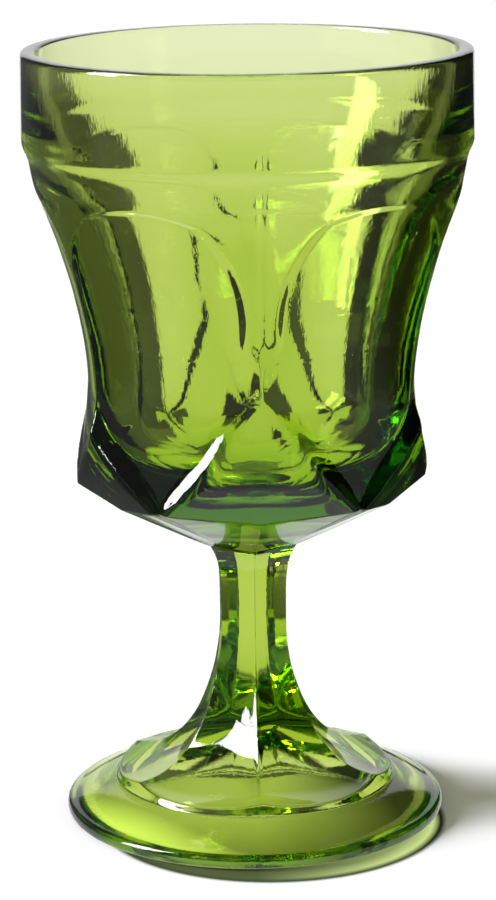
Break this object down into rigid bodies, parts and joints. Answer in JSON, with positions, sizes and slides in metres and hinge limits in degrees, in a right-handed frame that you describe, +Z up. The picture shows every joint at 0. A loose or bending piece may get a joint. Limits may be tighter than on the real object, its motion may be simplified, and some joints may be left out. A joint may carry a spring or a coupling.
{
  "type": "goblet",
  "caption": "Stemmed pressed-glass goblet with a banded rim, arched panels round a faceted bowl, a faceted stem and a petalled round foot, for holding a short iced drink.",
  "frame": {"origin": "on the goblet's axis, level with the underside of the foot that it stands on", "axes": "+Z up along the axis of the stem and the bowl, -Y towards the ridge that faces the viewer"},
  "size_m": [0.0836, 0.0836, 0.1464],
  "materials": {
    "green_glass": "clear yellow-green pressed glass, fire polished"
  },
  "bodies": {
    "root": {"bowl": "green_glass", "stem": "green_glass", "foot": "green_glass"}
  },
  "joints": []
}
